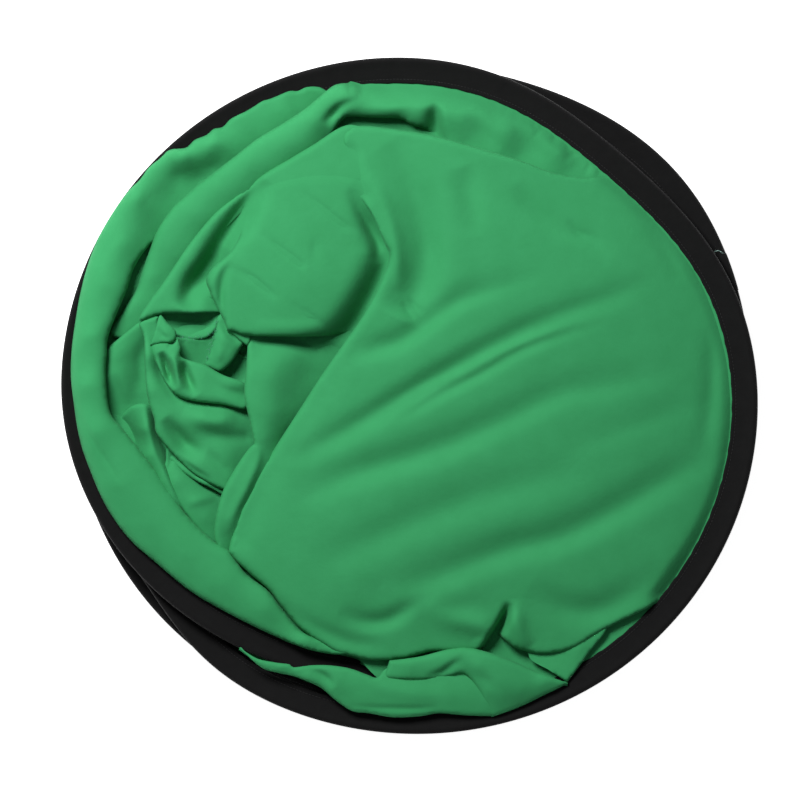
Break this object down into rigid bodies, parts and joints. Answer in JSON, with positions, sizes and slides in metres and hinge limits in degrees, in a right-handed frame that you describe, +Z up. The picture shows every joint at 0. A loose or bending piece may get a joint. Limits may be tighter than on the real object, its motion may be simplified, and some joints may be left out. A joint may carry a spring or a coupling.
{
  "type": "collapsible backdrop panel",
  "caption": "Twist-fold green backdrop panel folded into a flat round pack: a sprung steel hoop in black binding tape coiled in three turns with the crumpled cloth held inside.",
  "frame": {"origin": "centre of the folded pack, on the surface it lies on", "axes": "+Z up through the thin side of the pack, +Y towards the edge that is at the top when the pack is seen from above, +X to the right"},
  "size_m": [0.6983, 0.6782, 0.0593],
  "materials": {
    "green_cloth": "matte woven polyester, chroma green",
    "black_tape": "matte black twill binding tape",
    "spring_steel": "blued spring steel strip",
    "sleeve_steel": "crimped zinc-plated sleeve and rivets",
    "black_thread": "matte sewing thread",
    "teal_thread": "pale teal sewing thread"
  },
  "bodies": {
    "lower_coil": {"tape_lower": "black_tape", "band_lower": "spring_steel", "stitch_lower": "black_thread", "cloth_lower": "green_cloth"},
    "middle_coil": {"tape_middle": "black_tape", "tape_crossover": "black_tape", "tape_end_patch": "black_tape", "band_middle": "spring_steel", "band_crossover": "spring_steel", "band_sleeve": "sleeve_steel", "band_rivets": "sleeve_steel", "stitch_middle": "black_thread", "stitch_crossover": "black_thread", "thread_tail": "teal_thread", "cloth_middle": "green_cloth"},
    "upper_coil": {"tape_upper": "black_tape", "band_upper": "spring_steel", "stitch_upper": "black_thread", "cloth_upper": "green_cloth", "cloth_lobe": "green_cloth", "cloth_knot": "green_cloth", "cloth_roll_left": "green_cloth", "cloth_bunch_bottom": "green_cloth"}
  },
  "joints": [
    {"name": "middle_fan", "type": "hinge", "parent": "lower_coil", "child": "middle_coil", "pos_m": [-0.1715, -0.29705, 0.0129], "axis": [0.866, -0.5, 0], "range_deg": [0, 15]},
    {"name": "upper_fan", "type": "hinge", "parent": "middle_coil", "child": "upper_coil", "pos_m": [-0.1715, -0.29705, 0.0269], "axis": [0.866, -0.5, 0], "range_deg": [0, 15]}
  ]
}
